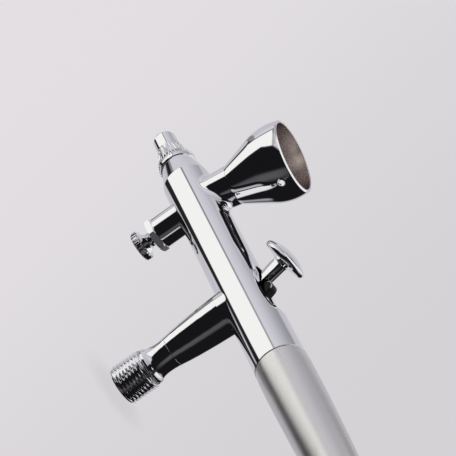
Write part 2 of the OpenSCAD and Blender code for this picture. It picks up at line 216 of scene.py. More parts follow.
def make_world():
    world = bpy.data.worlds.new("studio")
    bpy.context.scene.world = world
    world.use_nodes = True
    tree = world.node_tree
    tree.nodes.clear()
    ray = tree.nodes.new("ShaderNodeTexCoord").outputs["Generated"]

    # Place of each direction on a mirror ball that stands before the camera's place
    half = vector_op(tree, "NORMALIZE", vector_op(tree, "ADD", ray, VIEW))
    x = Num(tree, vector_op(tree, "DOT_PRODUCT", half, RIGHT))
    y = Num(tree, vector_op(tree, "DOT_PRODUCT", half, UP))
    r = (x * x + y * y) ** 0.5
    angle = x.op("ARCTAN2", y, x) * degrees(1)

    def over(mask, under, colour):
        return mix_colour(tree, mask, under, colour)

    # Dark room, with a pale wall round its upper half, whose lower edge rises at both ends
    wall = over(x.step(-0.3, 0.65), tone(207, 206, 214), tone(140, 140, 146))
    wall = over(x.step(0.66, 0.85), wall, tone(188, 188, 196))
    left_rise = 0.9 * (-0.15 - x).most(0).least(0.13)
    right_rise = 1.5 * (x - 0.2).most(0).least(0.2)
    wall_edge = 0.24 + left_rise + right_rise
    room = over((y - wall_edge).step(-0.03, 0.05), tone(21), wall)

    # Pale wall beyond the handle, which lights the far side of the gun
    far_wall = x.step(0.42, 0.56) * y.step(-0.62, -0.48) * y.below(0.1, 0.3)
    room = over(far_wall, room, tone(182, 181, 188))

    # Backdrop behind the gun: its left side, and a rim all round, thinner on the dark side
    left_side = r.step(0.855, 0.885) * y.step(-0.52, -0.3) * x.below(0, 0.001)
    room = over(left_side, room, tone(198, 197, 204))
    dark_side = x.step(-0.2, -0.05) * y.below(0.0, 0.15)
    room = over(r.step(0.88, 0.92) * (1 - dark_side), room, tone(190, 189, 196))
    room = over(r.step(0.95, 0.985), room, tone(196, 195, 202))

    # Soft grey edge of a table, as a blurred oval on a slant
    table_slant, table_half_x, table_half_y = 0.19, 0.42, 0.105
    across = (x + 0.28) / table_half_x
    along = (y + 0.2995 - table_slant * x) / table_half_y
    room = over(across.hill() * along.hill() * 0.95, room, tone(84))

    # Key soft box: its lower edge, and that of its frame, slope up to a level end
    side_slope, top_slope = 0.66, 0.533
    top_edge = y - 0.5 - top_slope * (x + 0.75)
    reach = r - 0.06 * angle.below(135, 141)
    frame_edge = (y - 0.22 - side_slope * (x + 0.65)).step(-0.01, 0.01).most(y.step(0.36, 0.38))
    frame_mask = frame_edge * reach.below(0.915, 0.935) * x.below(-0.245, -0.225) * y.step(0, 0.05)
    frame_mask = frame_mask * (1 - x.step(-0.62, -0.59) * top_edge.step(0.02, 0.035))
    # The frame is dark at its outer end, grey towards its top and pale at its right end
    frame_tone = over(angle.below(137, 142), tone(34), tone(130))
    frame_tone = over(x.step(-0.34, -0.3) * y.below(0.6, 0.7), frame_tone, tone(172))
    room = over(frame_mask, room, frame_tone)
    box_edge = (y - 0.365 - side_slope * (x + 0.5)).step(-0.012, 0.012).most(y.step(0.353, 0.377))
    box_mask = box_edge * reach.below(0.885, 0.9) * x.below(-0.305, -0.285)
    box_mask = box_mask * top_edge.below(-0.01, 0.01)
    # Its lower outer corner is cut off
    box_mask = box_mask * (1 - x.below(-0.815, -0.795) * y.below(0.24, 0.28))
    room = over(box_mask, room, tone(242, 242, 240))

    # Long low light on the right, a tilted oval that catches the cup's rim and the trigger
    tilt_cos, tilt_sin = 0.908, 0.42
    rim_half_width, rim_half_length = 0.21, 0.62
    rim_x, rim_y = x - 0.62, y - 0.12
    rim_across = (tilt_cos * rim_x + tilt_sin * rim_y) / rim_half_width
    rim_along = (tilt_sin * rim_x - tilt_cos * rim_y) / rim_half_length
    rim_light = (rim_across * rim_across + rim_along * rim_along) ** 0.5
    room = over(rim_light.below(0.8, 1), room, tone(238, 237, 236))
    lit = add_node(tree, "ShaderNodeBackground", Color=room, Strength=CHROME_LOSS)

    # Backdrop as the camera sees it, a little darker towards the lower right
    fall = Num(tree, vector_op(tree, "DOT_PRODUCT", ray, RIGHT))
    fall = fall - Num(tree, vector_op(tree, "DOT_PRODUCT", ray, UP))
    backdrop = over(fall.step(-0.25, 0.25), tone(227, 223, 227), tone(212, 210, 213))
    seen = add_node(tree, "ShaderNodeBackground", Color=backdrop)
    camera_ray = tree.nodes.new("ShaderNodeLightPath").outputs["Is Camera Ray"]
    mixed = tree.nodes.new("ShaderNodeMixShader")
    tree.links.new(camera_ray, mixed.inputs[0])
    tree.links.new(lit.outputs[0], mixed.inputs[1])
    tree.links.new(seen.outputs[0], mixed.inputs[2])
    output = tree.nodes.new("ShaderNodeOutputWorld")
    tree.links.new(mixed.outputs[0], output.inputs["Surface"])


# ---- materials ----

def new_material(name, metallic):
    """A Principled material, with its tree and its shader."""
    material = bpy.data.materials.new(name)
    material.use_nodes = True
    tree = material.node_tree
    shader = tree.nodes["Principled BSDF"]
    shader.inputs["Metallic"].default_value = metallic
    return material, tree, shader


def place(tree):
    return tree.nodes.new("ShaderNodeTexCoord").outputs["Object"]


def noise(tree, scale, detail=3):
    """Noise of so many cells to a metre."""
    node = add_node(tree, "ShaderNodeTexNoise", Vector=place(tree), Scale=scale, Detail=detail)
    return Num(tree, node.outputs["Fac"])


SCRATCH_DEPTH = 0.02 * MM


def metal(name, colour, rough_low, rough_high, grain, swirl, dirt=0):
    """Metal whose roughness wanders, with faint polishing marks and a little tarnish."""
    material, tree, shader = new_material(name, metallic=1)
    cloudy = noise(tree, grain)
    feed(tree, shader.inputs["Roughness"], cloudy * (rough_high - rough_low) + rough_low)
    stain = noise(tree, grain / 4, 5).step(0.45, 0.8) * dirt
    dull = tuple(c * 0.6 for c in colour[:3]) + (1,)
    feed(tree, shader.inputs["Base Color"], mix_colour(tree, stain, colour, dull))
    marks = add_node(tree, "ShaderNodeBump", Height=noise(tree, grain * 4, 6), Strength=swirl,
                     Distance=SCRATCH_DEPTH)
    tree.links.new(marks.outputs["Normal"], shader.inputs["Normal"])
    return material


def plain(name, colour_a, colour_b, grain):
    """A plastic whose colour wanders between two tones."""
    material, tree, shader = new_material(name, metallic=0)
    colour = mix_colour(tree, noise(tree, grain), colour_a, colour_b)
    feed(tree, shader.inputs["Base Color"], colour)
    return material, tree, shader


def make_materials():
    made = {}
    made["chrome"] = metal("chrome", (0.90, 0.90, 0.91, 1), 0.015, 0.05, 500, 0.02)
    made["satin_chrome"] = metal("satin_chrome", (0.84, 0.82, 0.80, 1), 0.28, 0.38, 1400, 0.1)
    made["steel"] = metal("steel", (0.60, 0.60, 0.61, 1), 0.12, 0.25, 1500, 0.1, 0.2)
    made["black_steel"] = metal("black_steel", (0.02, 0.018, 0.018, 1), 0.2, 0.35, 1500, 0.1, 0.3)
    made["spring_steel"] = metal("spring_steel", (0.50, 0.50, 0.52, 1), 0.2, 0.35, 2000, 0.1, 0.3)
    made["brass"] = metal("brass", (0.78, 0.60, 0.30, 1), 0.12, 0.28, 1500, 0.1, 0.3)

    made["cup_lining"] = metal("cup_lining", (0.75, 0.69, 0.66, 1), 0.22, 0.32, 700, 0.15, 0.15)

    made["ptfe"], tree, shader = plain("ptfe", (0.80, 0.80, 0.77, 1), (0.90, 0.90, 0.87, 1), 1500)
    feed(tree, shader.inputs["Roughness"], 0.45)
    made["rubber"], tree, shader = plain("rubber", (0.010, 0.010, 0.011, 1),
                                         (0.025, 0.025, 0.026, 1), 2500)
    feed(tree, shader.inputs["Roughness"], noise(tree, 4000) * 0.2 + 0.45)
    return made


MATERIALS = make_materials()


def finish_cad_nodes():
    """Every CAD node takes the material of its slot in the record."""
    for part in frame["record"]["subparts"]:
        slots = frame["nodes"][part["node"]].data.materials
        slots.clear()
        slots.append(MATERIALS[part["material_slot"]])


# ---- mesh helpers: profiles are in millimetres, as [radius, height] about their own axis ----

STRAIGHT = radians(14)  # a corner that turns less than this stays as it is
ARC_STEP = 15  # degrees that one side of a rounded corner turns
SHARP = radians(32)  # an edge that turns more than this is shaded as an edge


def eased(points, radius, closed):
    """The profile with its corners rounded, as far as their sides leave room."""
    count = len(points)
    line = []
    for i, point in enumerate(points):
        b = Vector(point)
        a = Vector(points[i - 1])
        c = Vector(points[(i + 1) % count])
        at_end = not closed and i in (0, count - 1)
        turn = 0 if at_end else pi - (a - b).angle(c - b)
        if turn < STRAIGHT:
            line.append(b)
            continue
        to_a = (a - b).normalized()
        to_c = (c - b).normalized()
        cut = min(radius * tan(turn / 2), 0.45 * (a - b).length, 0.45 * (c - b).length)
        centre = b + (to_a + to_c).normalized() * hypot(cut, cut / tan(turn / 2))
        arm = b + to_a * cut - centre
        side = 1 if arm.x * (b - centre).y - arm.y * (b - centre).x > 0 else -1
        steps = max(2, ceil(degrees(turn) / ARC_STEP))
        for k in range(steps + 1):
            spin = side * turn * k / steps
            line.append(centre + Vector((arm.x * cos(spin) - arm.y * sin(spin),
                                         arm.x * sin(spin) + arm.y * cos(spin))))
    return line


def divided(line, step, closed):
    """The line with extra points, so that no side is longer than step."""
    result = []
    ends = line[1:] + line[:1] if closed else line[1:]
    for a, b in zip(line, ends):
        parts = max(1, ceil((b - a).length / step))
        result += [a.lerp(b, k / parts) for k in range(parts)]
    return result if closed else result + [line[-1]]


def smooth_line(points, parts):
    """A Catmull-Rom curve through the points."""
    p = [Vector(q) for q in points]
    p = [p[0] * 2 - p[1]] + p + [p[-1] * 2 - p[-2]]
    line = []
    for i in range(1, len(p) - 2):
        for k in range(parts):
            t = k / parts
            line.append(tuple(0.5 * (2 * p[i] + (p[i + 1] - p[i - 1]) * t
                        + (2 * p[i - 1] - 5 * p[i] + 4 * p[i + 1] - p[i + 2]) * t * t
                        + (3 * p[i] - p[i - 1] - 3 * p[i + 1] + p[i + 2]) * t ** 3)))
    return line + [tuple(points[-1])]


def line_normals(line, closed):
    """Outward normal of each point of a profile, led by its longer side."""
    count = len(line)
    area = sum(line[i - 1].x * line[i].y - line[i].x * line[i - 1].y for i in range(count))
    side = 1 if area > 0 else -1
    normals = []
    for i in range(count):
        total = Vector((0, 0))
        for a, b in ((i - 1, i), (i, i + 1)):
            if closed or 0 <= a and b < count:
                along = line[b % count] - line[a]
                total += side * Vector((along.y, -along.x))
        normals.append(total.normalized())
    return normals, side


def lathe_mesh(name, profile, where, slices, ease, shape=None, step=0, lining=False):
    """Turns a profile about the Z axis of where, with its corners rounded by ease.
    shape(radius, height, angle) gives a new radius and height, and step is the longest side of
    the profile that it meets. A profile that doesn't touch the axis is closed. lining puts the
    faces that look at the axis on the second material."""
    closed = profile[0][0] > 0 or profile[-1][0] > 0
    line = eased(profile, ease, closed)
    if step:
        line = divided(line, step, closed)
    normals, side = line_normals(line, closed)
    points, rings, point_normals = [], [], []
    turn = where.to_3x3()
    for spot, normal in zip(line, normals):
        if spot.x < 1e-6:
            rings.append([len(points)] * slices)
            points.append(where @ Vector((0, 0, spot.y)) * MM)
            point_normals.append(turn @ Vector((0, 0, 1 if normal.y > 0 else -1)))
            continue
        rings.append(list(range(len(points), len(points) + slices)))
        for k in range(slices):
            a = 2 * pi * k / slices
            radius, height = shape(spot.x, spot.y, a) if shape else spot
            points.append(where @ Vector((radius * cos(a), radius * sin(a), height)) * MM)
            point_normals.append(turn @ Vector((normal.x * cos(a), normal.x * sin(a), normal.y)))
    faces, inner = [], []
    for i in range(len(rings) if closed else len(rings) - 1):
        low, high = rings[i], rings[(i + 1) % len(rings)]
        faces_in = (normals[i] + normals[(i + 1) % len(rings)]).x < -0.3
        for k in range(slices):
            m = (k + 1) % slices
            corners = list(dict.fromkeys((low[k], low[m], high[m], high[k])))
            faces.append(corners if side > 0 else corners[::-1])
            inner.append(faces_in)
    mesh = bpy.data.meshes.new(name)
    mesh.from_pydata(points, [], faces)
    mesh.polygons.foreach_set("use_smooth", [True] * len(faces))
    if lining:
        mesh.polygons.foreach_set("material_index", [int(i) for i in inner])
    if shape:
        mesh.set_sharp_from_angle(angle=SHARP)
    else:
        mesh.normals_split_custom_set_from_vertices(point_normals)
    return mesh


def piece(name, mesh, body, slot, *nodes, materials=()):
    """A visible piece that rides on a body and stands for some CAD nodes."""
    obj = bpy.data.objects.new(name, mesh)
    bpy.context.scene.collection.objects.link(obj)
    for material in materials or (MATERIALS[slot],):
        mesh.materials.append(material)
    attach(obj, body)
    if nodes:
        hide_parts(*nodes)
    return obj


def ramp(low, high, x):
    t = min(1, max(0, (x - low) / (high - low)))
    return t * t * (3 - 2 * t)


# ---- places in millimetres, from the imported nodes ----

def low(node, axis):
    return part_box(node)[0]["xyz".index(axis)] / MM


def high(node, axis):
    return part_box(node)[1]["xyz".index(axis)] / MM


def travel(joint):
    """How far a sliding joint can move."""
    start, end = next(j for j in frame["joints"] if j["name"] == joint)["range_m"]
    return (end - start) / MM


AXIS_Z = (low("needle", "z") + high("needle", "z")) / 2
BARREL_R = high("handle", "y") - 0.1
CONTROL_X = (low("control_screw", "x") + high("control_screw", "x")) / 2
CUP_X = -36
CUP_LEAN = radians(13.6)
TRIGGER_DROP = 4
TRIGGER_LEAN = radians(12.5)

BARREL = Matrix.Translation((0, 0, AXIS_Z)) @ Matrix.Rotation(pi / 2, 4, "Y")
VALVE = Matrix.Translation((0, 0, AXIS_Z))
CONTROL = Matrix.Translation((CONTROL_X, 0, AXIS_Z))
CUP = Matrix.Translation((CUP_X, 0, AXIS_Z)) @ Matrix.Rotation(CUP_LEAN, 4, "Y")
TRIGGER = (Matrix.Translation((0, 0, AXIS_Z - TRIGGER_DROP))
           @ Matrix.Rotation(-TRIGGER_LEAN, 4, "Y"))


# ---- fillets where the stubs leave the barrel ----

def fillet(name, centre_x, lean, direction, stub_r, ball_r):
    """The smooth ring that a ball leaves when it rolls round a stub on the barrel.
    direction is 1 for a stub that rises and -1 for one that hangs; stub_r(height) is its radius."""
    slices, steps = 180, 10
    overlap = 0.02  # share of the ring that sinks into the barrel and into the stub
    points, normals, faces = [], [], []
    axis = Vector((sin(lean), 0, cos(lean))) * direction
    out_x = Vector((cos(lean), 0, -sin(lean)))
    for k in range(slices):
        a = 2 * pi * k / slices
        radial = out_x * cos(a) + Vector((0, sin(a), 0))
        # The ball's height hangs on the stub's radius there, so it settles in a few rounds
        height = BARREL_R
        for _ in range(4):
            reach = stub_r(height) + ball_r
            rise = sqrt((BARREL_R + ball_r) ** 2 - (reach * sin(a)) ** 2)
            height = (rise + direction * reach * cos(a) * sin(lean)) / cos(lean)
        ball = radial * reach + axis * height
        up = Vector((0, ball.y, ball.z)).normalized()
        spread = radial.angle(up)
        for s in range(steps + 1):
            share = (1 + 2 * overlap) * s / steps - overlap
            toward = (radial * sin((1 - share) * spread) + up * sin(share * spread)) / sin(spread)
            points.append((ball - toward * ball_r + Vector((centre_x, 0, AXIS_Z))) * MM)
            normals.append(toward)
    for k in range(slices):
        for s in range(steps):
            a = k * (steps + 1) + s
            b = (k + 1) % slices * (steps + 1) + s
            corners = [a, b, b + 1, a + 1]
            faces.append(corners if direction < 0 else corners[::-1])
    mesh = bpy.data.meshes.new(name)
    mesh.from_pydata(points, [], faces)
    mesh.polygons.foreach_set("use_smooth", [True] * len(faces))
    mesh.normals_split_custom_set_from_vertices(normals)
    piece(name, mesh, "gun", "chrome")


def make_fillets():
    def cup_stub_r(height):
        return 4.75 + 0.1 * height / 5.5

    def valve_boss_r(height):
        return 5.07 - 0.06 * max(0, height - 6)

    def control_stub_r(height):
        return 4.0

    fillet("cup_stub_fillet", CUP_X, CUP_LEAN, 1, cup_stub_r, 1.9)
    fillet("valve_boss_fillet", 0, 0, -1, valve_boss_r, 0.4)
    fillet("control_stub_fillet", CONTROL_X, 0, -1, control_stub_r, 0.35)


# ---- nozzle end ----

def groove(angle, count, width):
    """1 in the middle of each of count grooves round a part, 0 between them."""
    place_in = abs((angle * count / (2 * pi) + 0.5) % 1 - 0.5) * 2
    return 1 - ramp(width * 0.45, width, place_in)


FLUTES, FLUTE_WIDTH = 24, 0.85  # the nozzle cap's flutes run on over the needle cap


def make_nozzle_cap():
    joint_x, root_x, knurl_rear, knurl_front = -57, -52.6, -51.22, -52.25
    knurl_depth, flute_depth = 0.5, 0.22

    def shape(radius, height, angle):
        if radius > 4.7 and knurl_front - 0.1 < height < knurl_rear + 0.1:
            radius -= knurl_depth * groove(angle, 40, 0.7)
        elif radius > 3.3 and joint_x < height < root_x:
            depth = flute_depth * ramp(joint_x + 0.1, joint_x + 1, height)
            radius -= depth * groove(angle, FLUTES, FLUTE_WIDTH)
        return radius, height

    profile = [
        (2.6, -47), (3.6, -47), (3.6, -50), (4.5, -50.05), (4.68, -50.2), (4.74, -50.5),
        (4.78, -51.12), (4.95, -51.2),
        (4.95, -52.2), (4.7, -52.45), (4.2, -52.6), (4.1, -52.7),
        (3.5, joint_x + 0.15), (3.4, joint_x), (1.9, joint_x), (1.9, -60.2), (1.6, -60.6),
        (0.55, -60.6), (0.55, -60), (2.6, -54)
    ]
    mesh = lathe_mesh("nozzle_cap", profile, BARREL, 528, 0.06, shape, 0.25)
    piece("fluted_nozzle_cap", mesh, "gun", "chrome", "nozzle_cap")


def make_needle_cap():
    front, joint_x = low("needle_cap", "x"), high("needle_cap", "x")
    flute_depth = 0.16

    def shape(radius, height, angle):
        if radius > 3 and height > joint_x - 1.5:
            depth = flute_depth * ramp(joint_x - 1, joint_x - 0.3, height)
            radius -= depth * groove(angle, FLUTES, FLUTE_WIDTH)
        return radius, height

    profile = [
        (1.9, joint_x), (3.1, joint_x), (2.98, front + 0.5), (2.88, front + 0.15),
        (2.6, front), (2.3, front), (2.1, -61.5), (2.1, -59.2), (1.9, -59.2)
    ]
    mesh = lathe_mesh("needle_cap", profile, BARREL, 288, 0.08, shape, 0.25)
    piece("crown_needle_cap", mesh, "gun", "chrome", "needle_cap")


# ---- paint cup ----

def make_cup():
    seam, mouth, wall, rim_bevel = 10.5, 26.8, 0.7, 0.38
    widest, arc_r, shoulder = 9.65, 13.2, 23.6
    drain_top = 16.2
    slant = tan(radians(2.4))
    start = -22.2
    end = degrees(atan2(mouth - shoulder, arc_r * 0.97))

    def side(inset):
        """The curved side: an arc whose widest part is the shoulder."""
        parts = 26
        line = []
        for i in range(parts + 1):
            a = radians(start + (end - start) * i / parts)
            line.append((widest - arc_r + (arc_r - inset) * cos(a),
                         shoulder + (arc_r - inset) * sin(a)))
        return line

    def shape(radius, height, angle):
        """Slants the mouth against the cup's axis."""
        return radius, height - radius * cos(angle) * slant * ramp(14, mouth - 0.5, height)

    outside = [(5.15, seam)] + side(0)
    rim_r, rim_top = outside.pop()
    outside += [(rim_r, rim_top - rim_bevel), (rim_r - rim_bevel, rim_top)]
    inside = [p for p in side(wall) if p[1] > drain_top]
    profile = ([(2, 7.5), (3.4, 7.5), (3.4, seam + 0.02)] + outside + inside[::-1]
               + [(2.6, 12.6), (2, 12.4)])
    mesh = lathe_mesh("paint_cup", profile, CUP, 240, 0.16, shape, 1.2, lining=True)
    mesh.set_sharp_from_angle(angle=radians(50))
    piece("spun_paint_cup", mesh, "gun", "chrome", "paint_cup",
          materials=(MATERIALS["chrome"], MATERIALS["cup_lining"]))


# ---- air valve casing with its hose thread ----

def make_casing():
    thread_r, thread_top, bottom = 4.86, 7.6 - AXIS_Z, -AXIS_Z
    pitch, depth, flat = 0.907, 0.58, 0.14
    spigot_top, neck_r = -9.1, 4.1

    def hose_thread(height, angle):
        """How deep the thread is cut, with the flats of its crests and roots."""
        t = abs((height / pitch - angle / (2 * pi)) % 1 - 0.5) * 2
        return depth * (1 - ramp(flat, 1 - flat, t))

    def shape(radius, height, angle):
        if radius > 4.5 and height < thread_top + 0.2:
            # Both ends of the thread fade into a slightly thinner cylinder
            full = ramp(bottom + 0.05, bottom + 0.7, height)
            full *= 1 - 0.6 * ramp(thread_top - 0.6, thread_top, height)
            radius -= hose_thread(height, angle) * full + 0.35 * (1 - full)
        return radius, height

    neck = smooth_line([(3.82, -20.55), (3.68, -21.6), (3.6, -23), (3.64, -24.4),
                        (3.84, -25.5), (4.2, -26.12)], 5)
    bore = [(2.2, bottom), (2.2, -16.3), (1.05, -16.3), (1.05, -15.45), (1.7, -15.45),
            (1.7, -12.2), (2.2, -12.2), (2.2, spigot_top)]
    profile = (bore + [(3, spigot_top), (3, -20.5)] + neck
               + [(4.4, -26.45), (4.4, -26.95), (neck_r, -27.1), (neck_r, thread_top),
                  (thread_r, thread_top), (thread_r, bottom)])
    mesh = lathe_mesh("air_valve_casing", profile, VALVE, 144, 0.07, shape, 0.09)
    piece("threaded_valve_casing", mesh, "gun", "chrome", "air_valve_casing")


# ---- air-control valve ----

def make_control_bushing():
    top, root, hex_top, hex_low = -8.8, -11.5, -11.75, -13.35
    half_across, bevel = 3.9, 0.22

    def shape(radius, height, angle):
        if radius > 3.7:
            turn = (angle % (pi / 3)) - pi / 6
            radius = min(radius, half_across / cos(turn))
        return radius, height

    profile = [
        (1.3, top), (2.6, top), (2.6, root), (3.65, root), (3.65, hex_top), (4.1, hex_top),
        (4.5, hex_top - bevel), (4.5, hex_low + bevel), (4.1, hex_low), (1.3, hex_low)
    ]
    mesh = lathe_mesh("control_bushing", profile, CONTROL, 180, 0.05, shape, 0.2)
    piece("hex_control_bushing", mesh, "gun", "chrome", "control_bushing")


def make_control_knob():
    outer, inner_face, knob_r, knurl_depth = -17.9, -16.15, 3.85, 0.34

    def shape(radius, height, angle):
        if radius > 3.4 and outer + 0.05 < height < inner_face - 0.02:
            radius -= knurl_depth * groove(angle, 20, 0.62)
        return radius, height

    profile = [
        (0, -16.4), (1.15, -16.4), (1.15, -14.9), (1.9, -14.9), (2, -15.1),
        (2.8, inner_face), (3.55, inner_face), (knob_r, inner_face - 0.25),
        (knob_r, outer + 0.35), (knob_r - 0.35, outer), (2.9, outer), (2.6, outer + 0.15),
        (0, outer + 0.1)
    ]
    mesh = lathe_mesh("control_knob", profile, CONTROL, 360, 0.08, shape, 0.15)
    piece("knurled_control_knob", mesh, "control_stem", "chrome", "control_knob")


# ---- trigger and lever ----

PIN_R = 0.5
SLOT_HALF = 0.8  # half the width of the slots that the needle passes through


def cut_away(obj, cutter_meshes):
    """Takes the cutters out of obj and keeps the result as its mesh."""
    cutters = []
    for cutter_mesh in cutter_meshes:
        cutter = bpy.data.objects.new(cutter_mesh.name, cutter_mesh)
        bpy.context.scene.collection.objects.link(cutter)
        cutters.append(cutter)
    for cutter in cutters:
        cut = obj.modifiers.new("cut", "BOOLEAN")
        cut.operation = "DIFFERENCE"
        cut.solver = "EXACT"
        cut.object = cutter
    bpy.context.view_layer.update()
    seen = obj.evaluated_get(bpy.context.evaluated_depsgraph_get())
    mesh = bpy.data.meshes.new_from_object(seen)
    obj.modifiers.clear()
    obj.data = mesh
    for cutter in cutters:
        bpy.data.objects.remove(cutter)
    mesh.polygons.foreach_set("use_smooth", [True] * len(mesh.polygons))
    mesh.set_sharp_from_angle(angle=SHARP)


def box_mesh(name, corner_a, corner_b, where):
    """A box between two corners, in millimetres, in the axes of where."""
    mesh = bpy.data.meshes.new(name)
    shell = bmesh.new()
    bmesh.ops.create_cube(shell, size=1)
    size = Vector(corner_b) - Vector(corner_a)
    middle = (Vector(corner_a) + Vector(corner_b)) / 2
    for v in shell.verts:
        v.co = where @ (middle + Vector(v.co[i] * size[i] for i in range(3))) * MM
    shell.to_mesh(mesh)
    shell.free()
    return mesh


def pin_hole(where):
    """A cutter for a hole through a part, for a pin of 1 mm."""
    profile = [(0, -3), (PIN_R, -3), (PIN_R, 3), (0, 3)]
    return lathe_mesh("pin_hole", profile, where @ Matrix.Rotation(pi / 2, 4, "X"), 48, 0)


def make_trigger():
    stem_r, button_r, rim_h, dome, rim_r = 1.87, 5.7, 16.3, 2.1, 0.9
    crown = smooth_line([(button_r - 0.45, rim_h + 0.78), (4.2, rim_h + 1.32),
                         (2.8, rim_h + 1.78), (1.4, rim_h + dome - 0.08),
                         (0, rim_h + dome)], 6)[1:]
    rim = [(button_r - rim_r + rim_r * cos(a), rim_h + rim_r * sin(a))
           for a in [radians(d) for d in range(-80, 70, 10)]]
    profile = ([(0, -1.3), (0.9, -1.25), (1.35, -0.9), (stem_r, 0.6), (stem_r, rim_h - 1.7),
                (2.0, rim_h - 1.4), (2.6, rim_h - 1.18), (3.6, rim_h - 1.02)] + rim + crown)
    mesh = lathe_mesh("trigger", profile, TRIGGER, 180, 0.25)
    obj = piece("trigger_lever", mesh, "trigger", "chrome", "trigger")
    foot_flat, foot_top = 1.15, 2.6
    stem_flat, flat_top = 1.5, rim_h - 1.55
    far, foot = 4, -3  # well outside the stem, and below its foot
    away = [
        box_mesh("side_a", (-far, foot_flat, foot), (far, far, foot_top), TRIGGER),
        box_mesh("side_b", (-far, -far, foot), (far, -foot_flat, foot_top), TRIGGER),
        box_mesh("flat_a", (-far, stem_flat, foot), (far, far, flat_top), TRIGGER),
        box_mesh("flat_b", (-far, -far, foot), (far, -stem_flat, flat_top), TRIGGER),
        box_mesh("needle_slot", (-far, -SLOT_HALF, 2.75), (far, SLOT_HALF, 7.35), TRIGGER),
        box_mesh("lever_relief", (0.9, -far, 1), (far, far, 5.8), TRIGGER),
        pin_hole(TRIGGER)
    ]
    cut_away(obj, away)


def make_lever():
    """Lever with an eye, a cam and a rounded head, forked round the needle."""
    pin_x, pin_z, half, bevel = 3, -2.6, 1.3, 0.22
    eye, cam, head = (pin_x, pin_z, 0.85), (pin_x - 0.1, 1.9, 1.05), (1.2, 5.65, 1.3)

    def flank(a, b, side):
        """Angle at which a line that touches both discs on one side leaves their edges."""
        along = Vector((b[0] - a[0], b[1] - a[1]))
        return atan2(along.y, along.x) + side * (pi / 2 + (b[2] - a[2]) / along.length)

    def on_disc(disc, angle):
        x, z, radius = disc
        return x + radius * cos(angle), z + radius * sin(angle)

    def round_disc(disc, start, end, parts):
        while end < start:
            end += 2 * pi
        return [on_disc(disc, start + (end - start) * k / parts) for k in range(parts + 1)]

    right_low, right_top = flank(eye, cam, -1), flank(cam, head, -1)
    left_low, left_top = flank(eye, cam, 1), flank(cam, head, 1)
    outline = round_disc(eye, left_low, right_low, 16)
    if right_top > right_low:
        outline += round_disc(cam, right_low, right_top, 4)
    else:
        outline.append(on_disc(cam, right_low))
    outline += round_disc(head, right_top, left_top, 28)
    if left_top > left_low:
        outline.append(on_disc(cam, left_low))
    else:
        outline += round_disc(cam, left_top, left_low, 4)
    mesh = bpy.data.meshes.new("auxiliary_lever")
    shell = bmesh.new()
    front = [shell.verts.new((x * MM, -half * MM, (z + AXIS_Z) * MM)) for x, z in outline]
    face = shell.faces.new(front)
    grown = bmesh.ops.extrude_face_region(shell, geom=[face])
    for v in (g for g in grown["geom"] if isinstance(g, bmesh.types.BMVert)):
        v.co.y = half * MM
    bmesh.ops.recalc_face_normals(shell, faces=shell.faces)
    rims = [e for e in shell.edges if abs(e.verts[0].co.y - e.verts[1].co.y) < 1e-9]
    bmesh.ops.bevel(shell, geom=rims, offset=bevel * MM, segments=3, affect="EDGES", profile=0.5,
                    material=1)
    # Painted highlight: bright steel stays only on the bevel round the crown, where the head catches the light;
    # the lower bevels go back to black steel
    crown_z = head[1] + 0.5 + AXIS_Z
    for face in shell.faces:
        if face.calc_center_median().z < crown_z * MM:
            face.material_index = 0
    shell.to_mesh(mesh)
    shell.free()
    # The second material, bright steel, carries the painted highlight on the crown's bevel
    obj = piece("rounded_lever", mesh, "lever", "black_steel", "auxiliary_lever",
                materials=(MATERIALS["black_steel"], MATERIALS["steel"]))
    away = [
        box_mesh("needle_fork", (-1, -SLOT_HALF, -4), (5, SLOT_HALF, 2.6), VALVE),
        pin_hole(Matrix.Translation((pin_x, 0, AXIS_Z + pin_z)))
    ]
    cut_away(obj, away)


# ---- springs ----

def coil_mesh(name, middle, axis, side, length, mean_r, wire_r, turns):
    """A compression spring with closed ends, from middle along axis, both in millimetres."""
    wire_sides, per_turn = 10, 32
    count = int(turns * per_turn)
    other = axis.cross(side)
    points, faces = [], []
    rise_span = length - 2 * wire_r
    flat_share = 0.7 / turns  # the first and the last 0.7 turn lie almost flat
    for i in range(count + 1):
        t = i / count
        a = 2 * pi * turns * t
        steady = min(1, max(0, (t - flat_share) / (1 - 2 * flat_share)))
        rise = 0.25 * ramp(0, 1, t) + 0.75 * steady
        radial = side * cos(a) + other * sin(a)
        centre = middle + axis * (wire_r + rise_span * rise) + radial * mean_r
        for k in range(wire_sides):
            w = 2 * pi * k / wire_sides
            points.append((centre + (radial * cos(w) + axis * sin(w)) * wire_r) * MM)
    for i in range(count):
        for k in range(wire_sides):
            m = (k + 1) % wire_sides
            a, b = i * wire_sides, (i + 1) * wire_sides
            faces.append((a + k, a + m, b + m, b + k))
    faces.append(tuple(reversed(range(wire_sides))))
    faces.append(tuple(count * wire_sides + k for k in range(wire_sides)))
    mesh = bpy.data.meshes.new(name)
    mesh.from_pydata(points, [], faces)
    shell = bmesh.new()
    shell.from_mesh(mesh)
    bmesh.ops.recalc_face_normals(shell, faces=shell.faces)
    shell.to_mesh(mesh)
    shell.free()
    mesh.polygons.foreach_set("use_smooth", [True] * len(faces))
    mesh.set_sharp_from_angle(angle=radians(60))
    return mesh


